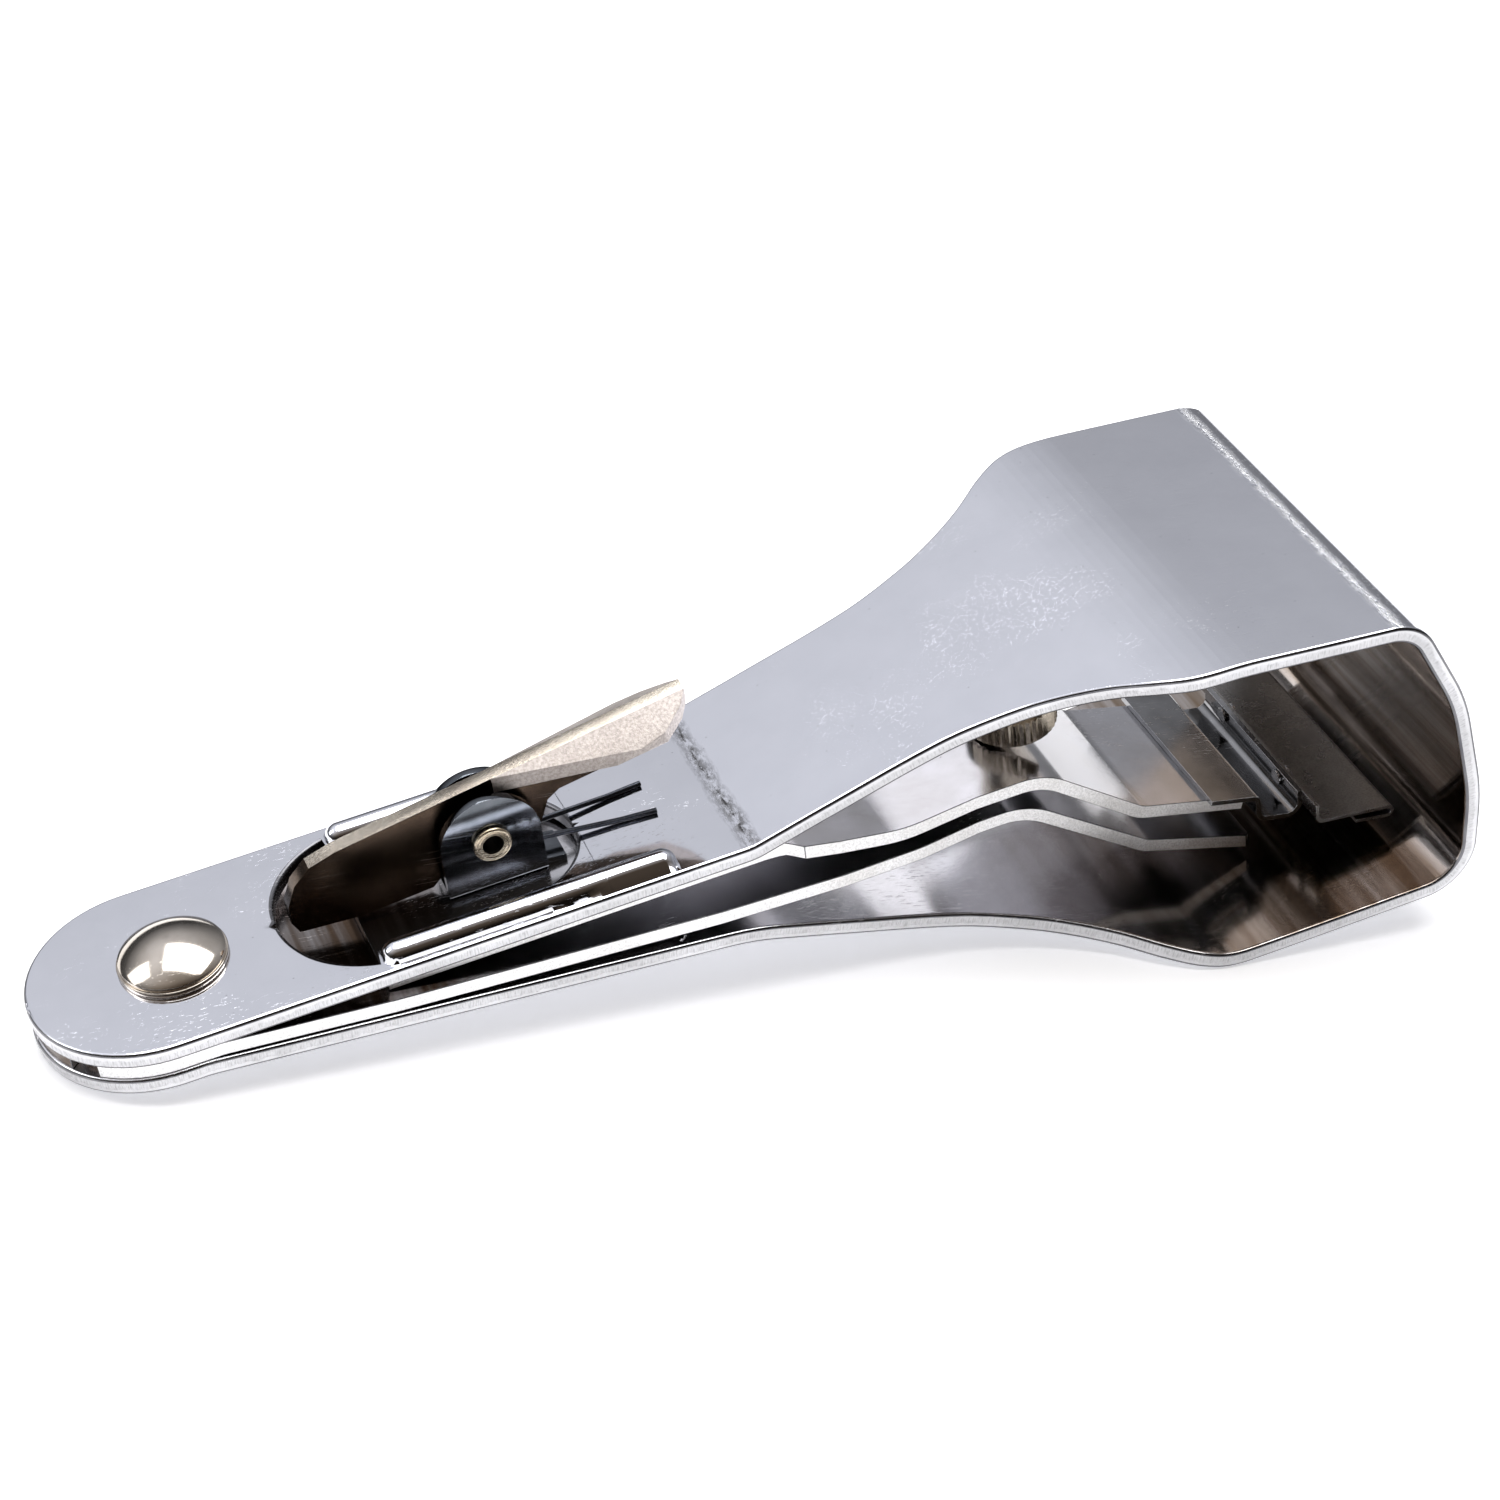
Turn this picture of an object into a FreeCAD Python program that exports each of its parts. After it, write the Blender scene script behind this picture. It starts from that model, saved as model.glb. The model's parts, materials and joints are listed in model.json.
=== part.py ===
import FreeCAD, Part
import math
import os

# Chromed squeeze loop: an outer spring strip, two inner leaves, a small lever and an adjusting screw.
# Shapes are drawn in the plane of the riveted tip (X along the length, Z out of the slotted arm)
# and then pitched so that the loop stands on the tip and on the lower bend.
# All sizes are in millimetres.

# Outer strip
strip_t = 1.6
arm_half = 10.9
grip_half = 20.6
tip_r = 10.9
crease_x = 63.6
crease_gap = 0.36
upper_split_x = 121.6
upper_split_gap = 0.7
lower_split_x = 62.5
lower_bend_x = 13.0
bend_split_x = 121.0
peak_x = 103.4
peak_z = 10.5
waist_x = 105.5
waist_z = -25.3
waist_r = 12.0

# Leaves
leaf_t = 1.4
leaf_half = 8.3
leaf_wide_half = 10.1
upper_leaf_x0 = 29.6
upper_leaf_z = -2.0

# Opening and beads in the slotted arm
slot_r = 9.6
slot_centre_x = 32.2
slot_half = 7.3
slot_step_x = 29.5
slot_end_x = 43.0
bead_y = 8.9
bead_r = 1.35
bead_lift = 0.55
bead_x0 = 31.0
bead_x1 = 55.6

# Tip rivet
rivet_x = 13.2
rivet_head_r = 4.75
rivet_shank_r = 2.0
washer_r = 4.95
washer_t = 0.5

# Yoke, lever and their rivet
pivot_x = 42.35
pivot_z = 3.2
ear_r = 4.65
ear_in = 1.65
ear_t = 0.85
lever_half = 0.75
lever_top_x = 29.0
lever_top_z = 6.3
sleeve_r = 1.5
sleeve_bore_r = 0.98
sleeve_rim_r = 1.78
wire_r = 0.26
coil_r = 2.16
coil_y = 1.21

# Adjusting screw
screw_x = 93.5
screw_bottom_z = -5.1
knurl_r = 4.35
knurl_h = 2.7
knurl_teeth = 40
shank_r = 3.15
shank_top_z = 0.4
stud_r = 1.7
stud_bore_r = 1.75
bush_r = 3.3
bush_bottom_z = 2.3
bush_bore_top_z = 5.75
stud_top_z = 4.6

# Clip and cross strip at the leaf tip
sheet_t = 0.5
cross_t = 0.35
clip_x = 118.6
clip_rivet_z = -18.1
clip_half = 9.3
cross_half = 12.0


def vec(x, y, z):
    return FreeCAD.Vector(x, y, z)


def unit(a, b):
    length = math.hypot(b[0] - a[0], b[1] - a[1])
    return ((b[0] - a[0]) / length, (b[1] - a[1]) / length)


def turn(a, b, c):
    u = unit(a, b)
    v = unit(b, c)
    return u[0] * v[1] - u[1] * v[0]


def offset_right(points, distance):
    """The polyline moved to the right-hand side of its direction, with mitred corners."""
    moved = []
    last = len(points) - 1
    for i, p in enumerate(points):
        u = unit(points[max(i - 1, 0)], points[max(i, 1)])
        v = unit(points[min(i, last - 1)], points[min(i + 1, last)])
        nx = u[1] + v[1]
        nz = -u[0] - v[0]
        scale = 2.0 * distance / (nx * nx + nz * nz)
        moved.append((p[0] + nx * scale, p[1] + nz * scale))
    return moved


def rounded_edges(points, radii, y):
    """Straight edges joined by arcs of the given corner radii, in the plane Y = y."""
    edges = []
    start = points[0]
    for i in range(1, len(points) - 1):
        p = points[i]
        u = unit(points[i - 1], p)
        v = unit(p, points[i + 1])
        angle = math.acos(max(-1.0, min(1.0, u[0] * v[0] + u[1] * v[1])))
        r = radii[i]
        cut = r * math.tan(angle / 2.0)
        a = (p[0] - u[0] * cut, p[1] - u[1] * cut)
        b = (p[0] + v[0] * cut, p[1] + v[1] * cut)
        bis = unit((0.0, 0.0), (v[0] - u[0], v[1] - u[1]))
        reach = r / math.cos(angle / 2.0) - r
        mid = (p[0] + bis[0] * reach, p[1] + bis[1] * reach)
        edges.append(Part.makeLine(vec(start[0], y, start[1]), vec(a[0], y, a[1])))
        arc = Part.Arc(vec(a[0], y, a[1]), vec(mid[0], y, mid[1]), vec(b[0], y, b[1]))
        edges.append(arc.toShape())
        start = b
    end = points[-1]
    edges.append(Part.makeLine(vec(start[0], y, start[1]), vec(end[0], y, end[1])))
    return edges


def ribbon(points, radii, thickness, half_width):
    """A bent strip: the path is one face, and the thickness lies to the right of its direction."""
    other = offset_right(points, thickness)
    other_radii = list(radii)
    for i in range(1, len(points) - 1):
        side = 1.0 if turn(points[i - 1], points[i], points[i + 1]) > 0 else -1.0
        other_radii[i] = max(radii[i] + side * thickness, 0.05)
    y = -half_width
    edges = rounded_edges(points, radii, y)
    edges.append(Part.makeLine(vec(points[-1][0], y, points[-1][1]), vec(other[-1][0], y, other[-1][1])))
    edges += rounded_edges(other, other_radii, y)
    edges.append(Part.makeLine(vec(points[0][0], y, points[0][1]), vec(other[0][0], y, other[0][1])))
    wire = Part.Wire(Part.__sortEdges__(edges))
    return Part.Face(wire).extrude(vec(0, 2.0 * half_width, 0))


def prism(points, y0, y1):
    """A flat outline in X and Z, extruded between two Y values."""
    corners = [vec(x, y0, z) for x, z in points]
    wire = Part.makePolygon(corners + [corners[0]])
    return Part.Face(wire).extrude(vec(0, y1 - y0, 0))


def plan_solid(edges):
    wire = Part.Wire(Part.__sortEdges__(edges))
    return Part.Face(wire).extrude(vec(0, 0, 120))


def box(x0, x1, y0, y1, z0, z1):
    return Part.makeBox(x1 - x0, y1 - y0, z1 - z0, vec(x0, y0, z0))


def rod(x, y, z, radius, length, axis):
    return Part.makeCylinder(radius, length, vec(x, y, z), axis)


def outer_outline():
    """Plan outline of the outer strip: round tip, narrow arm, flare and wide grip end."""
    z = -60.0
    flare = [(82.0, arm_half + 0.25), (88.0, 12.3), (92.0, 13.7), (96.0, 15.8)]
    flare += [(99.5, 18.3), (102.5, 19.9), (106.0, grip_half - 0.2)]
    edges = []
    tip = Part.Arc(vec(tip_r, arm_half, z), vec(0, 0, z), vec(tip_r, -arm_half, z))
    edges.append(tip.toShape())
    for side in (1.0, -1.0):
        points = [vec(x, side * w, z) for x, w in flare]
        curve = Part.BSplineCurve()
        curve.interpolate(points, InitialTangent=vec(1, side * 0.02, 0), FinalTangent=vec(1, side * 0.02, 0))
        edges.append(Part.makeLine(vec(tip_r, side * arm_half, z), points[0]))
        edges.append(curve.toShape())
        edges.append(Part.makeLine(points[-1], vec(140, side * (grip_half + 0.3), z)))
    far = grip_half + 0.3
    edges.append(Part.makeLine(vec(140, far, z), vec(140, -far, z)))
    return plan_solid(edges)


def outer_path():
    """The outer face of the whole strip, from the tip over the loop and back to the tip."""
    points = [(0.0, 0.0), (crease_x, 0.0), (peak_x, peak_z), (124.9, 8.1), (129.8, -2.5)]
    points += [(131.7, -14.0), (131.2, -25.1), (waist_x, waist_z), (lower_split_x, -10.8)]
    points += [(lower_bend_x, -4.6), (0.0, -4.6)]
    radii = [0.0, 5.0, 30.0, 5.4, 22.0, 26.0, 5.4, waist_r, 22.0, 10.0, 0.0]
    return points, radii


def outer_strip():
    points, radii = outer_path()
    return ribbon(points, radii, strip_t, 30.0).common(outer_outline())


def bead(x0, x1, y, z, radius):
    body = rod(x0, y, z, radius, x1 - x0, vec(1, 0, 0))
    body = body.fuse(Part.makeSphere(radius, vec(x0, y, z)))
    return body.fuse(Part.makeSphere(radius, vec(x1, y, z)))


def slot_cut():
    round_end = rod(slot_centre_x, 0, -5, slot_r, 12, vec(0, 0, 1))
    round_end = round_end.common(box(0, slot_step_x, -20, 20, -10, 10))
    straight = box(slot_step_x - 0.01, slot_end_x, -slot_half, slot_half, -5, 7)
    far_end = rod(slot_end_x, 0, -5, slot_half, 12, vec(0, 0, 1))
    return round_end.fuse(straight).fuse(far_end)


def rivet_hole(z0, z1):
    return rod(rivet_x, 0, z0, rivet_shank_r, z1 - z0, vec(0, 0, 1))


def slotted_arm(strip):
    arm = strip.common(box(-1, crease_x - crease_gap / 2.0, -30, 30, -strip_t - 0.05, 5))
    lift = bead_lift + 0.8 - bead_r
    for side in (1.0, -1.0):
        arm = arm.fuse(bead(bead_x0, bead_x1, side * bead_y, lift, bead_r).common(
            box(20, 60, -arm_half + 0.05, arm_half - 0.05, -1.0, 5)))
        arm = arm.cut(bead(bead_x0, bead_x1, side * bead_y, -1.55, 0.75))
    arm = arm.cut(slot_cut())
    return arm.cut(rivet_hole(-3, 3)).removeSplitter()


def upper_grip_plate(strip):
    zone = box(crease_x + crease_gap / 2.0, upper_split_x, -30, 30, -2.0, 20)
    return strip.common(zone)


def lower_arm(strip):
    zone = box(-1, lower_split_x, -30, 30, -20, -2.9)
    arm = strip.common(zone)
    for side in (1.0, -1.0):
        drop = math.atan2(-6.2, lower_split_x - lower_bend_x)
        groove = bead(0.0, bead_x1 - bead_x0, 0.0, 0.0, 0.85)
        ridge = bead(0.0, bead_x1 - bead_x0, 0.0, 0.0, bead_r)
        for tool in (groove, ridge):
            tool.rotate(vec(0, 0, 0), vec(0, 1, 0), -math.degrees(drop))
        start_z = -4.6 + math.tan(drop) * (bead_x0 - lower_bend_x)
        groove.translate(vec(bead_x0, side * bead_y, start_z + strip_t - 0.1))
        ridge.translate(vec(bead_x0, side * bead_y, start_z + 0.75))
        arm = arm.fuse(ridge.common(box(20, 60, -arm_half + 0.05, arm_half - 0.05, -20, -2)))
        arm = arm.cut(groove)
    return arm.cut(rivet_hole(-8, -2)).removeSplitter()


def lower_grip_plate(strip):
    return strip.common(box(lower_split_x, bend_split_x, -30, 30, -30, -8))


def end_bend(strip):
    right = strip.common(box(upper_split_x + upper_split_gap, 140, -30, 30, -15, 20))
    low = strip.common(box(bend_split_x, 140, -30, 30, -30, -15))
    return right.fuse(low).removeSplitter()


def leaf_outline(stations, x_end, corner):
    """Plan outline of a leaf: half widths at stations, and clipped corners at the free end."""
    z = -60.0
    right = [(x, w) for x, w in stations]
    right += [(x_end - corner, right[-1][1]), (x_end, right[-1][1] - corner)]
    points = [vec(x, w, z) for x, w in right]
    points += [vec(x, -w, z) for x, w in reversed(right)]
    wire = Part.makePolygon(points + [points[0]])
    return Part.Face(wire).extrude(vec(0, 0, 120))


def lower_leaf():
    points = [(0.0, -1.6), (14.5, -1.6), (30.0, -3.55), (46.0, -5.0), (80.0, -8.35), (91.0, -8.2)]
    points += [(103.2, -17.6), (114.0, -21.5)]
    radii = [0.0, 10.0, 40.0, 40.0, 14.0, 8.0, 3.0, 0.0]
    body = ribbon(points, radii, leaf_t, 20.0)
    stations = [(tip_r, 10.6), (60.0, 10.5), (72.0, 9.9), (86.0, leaf_half), (100.0, leaf_half)]
    outline = leaf_outline(stations, 114.4, 0.8)
    outline = outline.fuse(rod(tip_r, 0, -60, 10.6, 120, vec(0, 0, 1)))
    notch = box(-12.0, -9.2, -1.4, 1.4, -60, 60)
    notch.rotate(vec(0, 0, 0), vec(0, 0, 1), 42)
    notch.translate(vec(tip_r, 0, 0))
    body = body.common(outline).cut(notch)
    return body.cut(rivet_hole(-4, -1)).removeSplitter()


def upper_leaf():
    z = upper_leaf_z
    points = [(upper_leaf_x0, z), (66.5, z), (78.5, -5.35), (93.0, -5.35), (102.8, -13.3)]
    points += [(113.5, -16.5)]
    radii = [0.0, 12.0, 14.0, 7.0, 3.0, 0.0]
    body = ribbon(points, radii, leaf_t, 20.0)
    stations = [(upper_leaf_x0 - 1.0, 9.2), (67.0, 9.2), (68.5, leaf_wide_half), (72.0, 9.9)]
    stations += [(86.0, leaf_half), (100.0, leaf_half)]
    body = body.common(leaf_outline(stations, 114.2, 0.8))
    hole = rod(pivot_x, 0, z - 3, 0.8, 5, vec(0, 0, 1))
    return body.cut(hole).removeSplitter()


def tip_rivet():
    base_z = washer_t
    dome_h = 1.75
    ball_r = (rivet_head_r ** 2 + dome_h ** 2) / (2.0 * dome_h)
    ball = Part.makeSphere(ball_r, vec(rivet_x, 0, base_z + 0.35 + dome_h - ball_r))
    dome = ball.common(rod(rivet_x, 0, base_z + 0.35, rivet_head_r, 5, vec(0, 0, 1)))
    rim = rod(rivet_x, 0, base_z, rivet_head_r, 0.35, vec(0, 0, 1))
    shank = rod(rivet_x, 0, -4.6, rivet_shank_r, 4.6 + base_z, vec(0, 0, 1))
    tail = Part.makeCone(2.4, 3.3, 0.8, vec(rivet_x, 0, -5.4), vec(0, 0, 1))
    return dome.fuse([rim, shank, tail]).removeSplitter()


def rivet_washer():
    ring = rod(rivet_x, 0, 0, washer_r, washer_t, vec(0, 0, 1))
    return ring.cut(rod(rivet_x, 0, -1, rivet_shank_r, 3, vec(0, 0, 1)))


def yoke():
    z0 = upper_leaf_z
    out = ear_in + ear_t
    x0 = pivot_x - ear_r
    x1 = pivot_x + ear_r
    channel = box(x0, x1, -out, out, z0, pivot_z)
    channel = channel.cut(box(x0 - 1, x1 + 1, -ear_in, ear_in, z0 + ear_t, pivot_z + 1))
    ears = rod(pivot_x, -out, pivot_z, ear_r, 2.0 * out, vec(0, 1, 0))
    ears = ears.cut(box(x0 - 1, x1 + 1, -ear_in, ear_in, -10, 20))
    ears = ears.common(box(x0 - 1, x1 + 1, -out, out, pivot_z, 20))
    body = channel.fuse(ears).removeSplitter()
    bends = []
    for edge in body.Edges:
        mid = edge.CenterOfMass
        flat = abs(mid.z - z0) < 0.01 and abs(abs(mid.y) - out) < 0.01
        if flat and edge.Length > 5.0:
            bends.append(edge)
    body = body.makeFillet(0.7, bends)
    foot = prism([(x1 - 0.2, z0), (x1 + 1.9, z0), (x1 + 1.9, z0 + 0.6), (x1 - 0.2, z0 + ear_t)], -1.9, 1.9)
    body = body.fuse(foot)
    body = body.cut(rod(pivot_x, -5, pivot_z, sleeve_r, 10, vec(0, 1, 0)))
    return body.cut(rod(pivot_x, 0, z0 - 1, 0.8, 3, vec(0, 0, 1))).removeSplitter()


def yoke_rivet():
    z0 = upper_leaf_z
    shank = rod(pivot_x, 0, z0 - leaf_t - 0.4, 0.8, leaf_t + ear_t + 0.8, vec(0, 0, 1))
    head = rod(pivot_x, 0, z0 + ear_t, 1.4, 0.45, vec(0, 0, 1))
    tail = rod(pivot_x, 0, z0 - leaf_t - 0.4, 1.3, 0.4, vec(0, 0, 1))
    return shank.fuse([head, tail]).removeSplitter()


def pivot_rivet():
    out = ear_in + ear_t
    body = rod(pivot_x, -out - 0.3, pivot_z, sleeve_r, 2.0 * out + 0.6, vec(0, 1, 0))
    for side in (1.0, -1.0):
        rim = Part.makeTorus(sleeve_rim_r - 0.3, 0.3, vec(pivot_x, side * (out + 0.3), pivot_z), vec(0, 1, 0))
        flat = rod(pivot_x, side * out, pivot_z, sleeve_rim_r - 0.3, 0.5, vec(0, side, 0))
        body = body.fuse(flat).fuse(rim)
    return body.cut(rod(pivot_x, -6, pivot_z, sleeve_bore_r, 12, vec(0, 1, 0))).removeSplitter()


def lever_plate():
    """Side outline of the tall lever plate, from its round nose to the thumb tab."""
    top = [(lever_top_x, lever_top_z), (61.3, 11.3), (62.3, 10.8), (62.2, 9.8)]
    low = [(59.8, 8.6), (57.9, 7.2), (57.2, 6.5), (53.5, 5.7), (49.6, 5.1), (48.4, 4.3), (47.5, 2.2)]
    base = [(46.6, 0.7), (38.2, 0.2), (36.8, -1.1), (30.2, -1.6), (24.4, -1.1)]
    nose = [(23.8, 0.2), (23.9, 2.0), (24.8, 4.0), (26.4, 5.5)]
    return prism(top + low + base + nose, -lever_half, lever_half)


def thumb_wings():
    """The folded roof of the thumb tab, which widens towards its round end."""
    slope = (11.3 - lever_top_z) / (61.3 - lever_top_x)
    section = [(0.0, 0.0), (0.75, 0.0), (3.7, -1.8), (3.2, -2.8), (0.75, -1.6)]
    section += [(-0.75, -1.6), (-3.2, -2.8), (-3.7, -1.8), (-0.75, 0.0)]
    x0 = 43.0
    z0 = lever_top_z + slope * (x0 - lever_top_x)
    corners = [vec(x0, y, z0 + z) for y, z in section]
    roof = Part.Face(Part.makePolygon(corners + [corners[0]])).extrude(vec(21, 0, 21 * slope))
    plan = [(43.5, 0.7), (56.8, 3.7), (59.3, 3.3), (61.4, 1.9), (62.3, 0.7)]
    outline = [vec(x, y, 0) for x, y in plan] + [vec(x, -y, 0) for x, y in reversed(plan)]
    prism_z = Part.Face(Part.makePolygon(outline + [outline[0]])).extrude(vec(0, 0, 20))
    return roof.common(prism_z)


def lever():
    body = lever_plate().fuse(thumb_wings())
    body = body.cut(rod(pivot_x, -6, pivot_z, sleeve_r + 0.05, 12, vec(0, 1, 0)))
    return body.removeSplitter()


def lever_spring(side):
    """One wire spring: a leg that rests on the arm, and a hook round the tubular rivet."""
    y = side * coil_y
    tip_y = side * 2.15
    leg_low = vec(pivot_x, y, pivot_z - coil_r)
    knee = vec(47.6, y, pivot_z - coil_r - 0.3)
    rest = vec(54.4, side * 1.85, wire_r + 0.03)
    end = vec(57.7, tip_y, wire_r + 0.01)
    left = vec(pivot_x - coil_r, y, pivot_z)
    top = vec(pivot_x, y, pivot_z + coil_r)
    hook = vec(pivot_x + coil_r * math.cos(0.3), y, pivot_z + coil_r * math.sin(0.3))
    high = vec(pivot_x + coil_r * math.cos(0.9), y, pivot_z + coil_r * math.sin(0.9))
    edges = [Part.makeLine(end, rest), Part.makeLine(rest, knee), Part.makeLine(knee, leg_low)]
    edges.append(Part.Arc(leg_low, left, top).toShape())
    edges.append(Part.Arc(top, high, hook).toShape())
    pieces = []
    for edge in edges:
        if edge.Curve.TypeId == "Part::GeomLine":
            a = edge.Vertexes[0].Point
            b = edge.Vertexes[1].Point
            pieces.append(rod(a.x, a.y, a.z, wire_r, (b - a).Length, b - a))
            pieces.append(Part.makeSphere(wire_r, b))
        else:
            ring = Part.makeTorus(coil_r, wire_r, vec(pivot_x, y, pivot_z), vec(0, 1, 0))
            pieces.append(ring.cut(box(pivot_x, pivot_x + 5, y - 2, y + 2, pivot_z - 5, pivot_z + 0.6)))
    pieces.append(Part.makeSphere(wire_r, leg_low))
    return pieces[0].fuse(pieces[1:]).removeSplitter()


def knurled_head():
    points = []
    for i in range(2 * knurl_teeth):
        r = knurl_r if i % 2 == 0 else knurl_r - 0.28
        a = math.pi * i / knurl_teeth
        points.append(vec(screw_x + r * math.cos(a), r * math.sin(a), screw_bottom_z))
    knurl = Part.Face(Part.makePolygon(points + [points[0]])).extrude(vec(0, 0, knurl_h))
    bevel = Part.makeCone(knurl_r - 0.35, knurl_r + 1.4, 1.75, vec(screw_x, 0, screw_bottom_z), vec(0, 0, 1))
    bevel = bevel.fuse(rod(screw_x, 0, screw_bottom_z + 1.75, knurl_r + 1.4, knurl_h, vec(0, 0, 1)))
    knurl = knurl.common(bevel)
    shank = rod(screw_x, 0, screw_bottom_z + knurl_h, shank_r, shank_top_z - screw_bottom_z - knurl_h, vec(0, 0, 1))
    body = knurl.fuse(shank)
    bore = rod(screw_x, 0, screw_bottom_z + 0.9, stud_bore_r, 20, vec(0, 0, 1))
    return body.cut(bore).removeSplitter()


def threaded_stud():
    z0 = screw_bottom_z + 1.0
    return rod(screw_x, 0, z0, stud_r, stud_top_z - z0, vec(0, 0, 1))


def screw_bush(strip):
    body = rod(screw_x, 0, bush_bottom_z, bush_r, 12, vec(0, 0, 1))
    body = body.cut(strip.common(box(80, 110, -10, 10, 0, 20)))
    body = min(body.Solids, key=lambda s: s.CenterOfMass.z)
    return body.cut(rod(screw_x, 0, 0, stud_bore_r, bush_bore_top_z, vec(0, 0, 1)))


def tip_clip():
    """A folded clip: it lies on the leaf tip, turns down over its end and up again."""
    slope = (16.5 - 13.3) / (113.5 - 102.8)
    top_z = -16.5 + sheet_t + slope * 4.0 + 0.06
    points = [(109.5, top_z), (114.6, -16.15), (114.75, -18.8), (clip_x, -19.7), (clip_x, -17.2)]
    radii = [0.0, 0.7, 0.9, 0.9, 0.0]
    return ribbon(points, radii, sheet_t, clip_half).cut(clip_rivet_shanks())


def cross_strip():
    """A thin strip across the loop, folded back on itself along its far edge."""
    x0 = clip_x + sheet_t + cross_t
    points = [(x0, -17.3), (x0, -19.2), (127.2, -20.4), (127.9, -21.3), (127.0, -21.8), (123.4, -21.1)]
    radii = [0.0, 0.6, 0.6, 0.6, 0.6, 0.0]
    return ribbon(points, radii, cross_t, cross_half).cut(clip_rivet_shanks())


def clip_rivet_shanks():
    length = sheet_t + cross_t
    pins = [rod(clip_x, y, clip_rivet_z, 0.45, length, vec(1, 0, 0)) for y in (-5.5, 5.5)]
    return pins[0].fuse(pins[1])


def clip_rivets():
    """Two small rivets that hold the cross strip's flange on the clip."""
    body = clip_rivet_shanks()
    for y in (-5.5, 5.5):
        body = body.fuse(rod(clip_x - 0.3, y, clip_rivet_z, 0.8, 0.3, vec(1, 0, 0)))
        body = body.fuse(rod(clip_x + sheet_t + cross_t, y, clip_rivet_z, 0.8, 0.3, vec(1, 0, 0)))
    return body.removeSplitter()


def rest_pitch():
    """Angle that brings the tip and the lower bend onto one level line."""
    points, radii = outer_path()
    i = points.index((waist_x, waist_z))
    u = unit(points[i - 1], points[i])
    v = unit(points[i], points[i + 1])
    angle = math.acos(u[0] * v[0] + u[1] * v[1])
    bis = unit((0.0, 0.0), (v[0] - u[0], v[1] - u[1]))
    reach = radii[i] / math.cos(angle / 2.0)
    cx = points[i][0] + bis[0] * reach
    cz = points[i][1] + bis[1] * reach
    dx = cx - points[-1][0]
    dz = cz - points[-1][1]
    return -math.degrees(math.atan2(dz, dx) - math.asin(radii[i] / math.hypot(dx, dz)))


def placed(shape, pitch, shift):
    copy = shape.copy()
    copy.rotate(vec(0, 0, 0), vec(0, 1, 0), -pitch)
    copy.translate(shift)
    return copy


def build_nodes():
    strip = outer_strip()
    nodes = {}
    nodes["slotted_arm"] = slotted_arm(strip)
    nodes["upper_grip_plate"] = upper_grip_plate(strip)
    nodes["lower_arm"] = lower_arm(strip)
    nodes["lower_grip_plate"] = lower_grip_plate(strip)
    nodes["end_bend"] = end_bend(strip)
    nodes["lower_leaf"] = lower_leaf()
    nodes["upper_leaf"] = upper_leaf()
    nodes["tip_rivet"] = tip_rivet().cut(nodes["lower_arm"]).removeSplitter()
    nodes["rivet_washer"] = rivet_washer()
    nodes["yoke"] = yoke()
    nodes["yoke_rivet"] = yoke_rivet()
    nodes["pivot_rivet"] = pivot_rivet()
    nodes["lever"] = lever()
    nodes["near_lever_spring"] = lever_spring(-1.0)
    nodes["far_lever_spring"] = lever_spring(1.0)
    nodes["screw_bush"] = screw_bush(strip)
    nodes["threaded_stud"] = threaded_stud()
    nodes["knurled_head"] = knurled_head()
    nodes["tip_clip"] = tip_clip()
    nodes["cross_strip"] = cross_strip()
    nodes["clip_rivets"] = clip_rivets()
    return nodes


os.makedirs("parts", exist_ok=True)
nodes = build_nodes()
pitch = rest_pitch()
level = {name: placed(shape, pitch, vec(0, 0, 0)) for name, shape in nodes.items()}
bounds = Part.makeCompound(list(level.values())).optimalBoundingBox(False, False)
shift = vec(-(bounds.XMin + bounds.XMax) / 2.0, -(bounds.YMin + bounds.YMax) / 2.0, -bounds.ZMin)
for name, shape in level.items():
    shape.translate(shift)
    shape.exportStep("parts/" + name + ".step")
    print(name, shape.ShapeType, len(shape.Solids), round(shape.Volume, 1), shape.isValid())
print("pitch", round(pitch, 4), "shift", round(shift.x, 4), round(shift.y, 4), round(shift.z, 4))
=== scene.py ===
import bpy
import bmesh
import json
import math
from mathutils import Matrix, Vector


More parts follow.
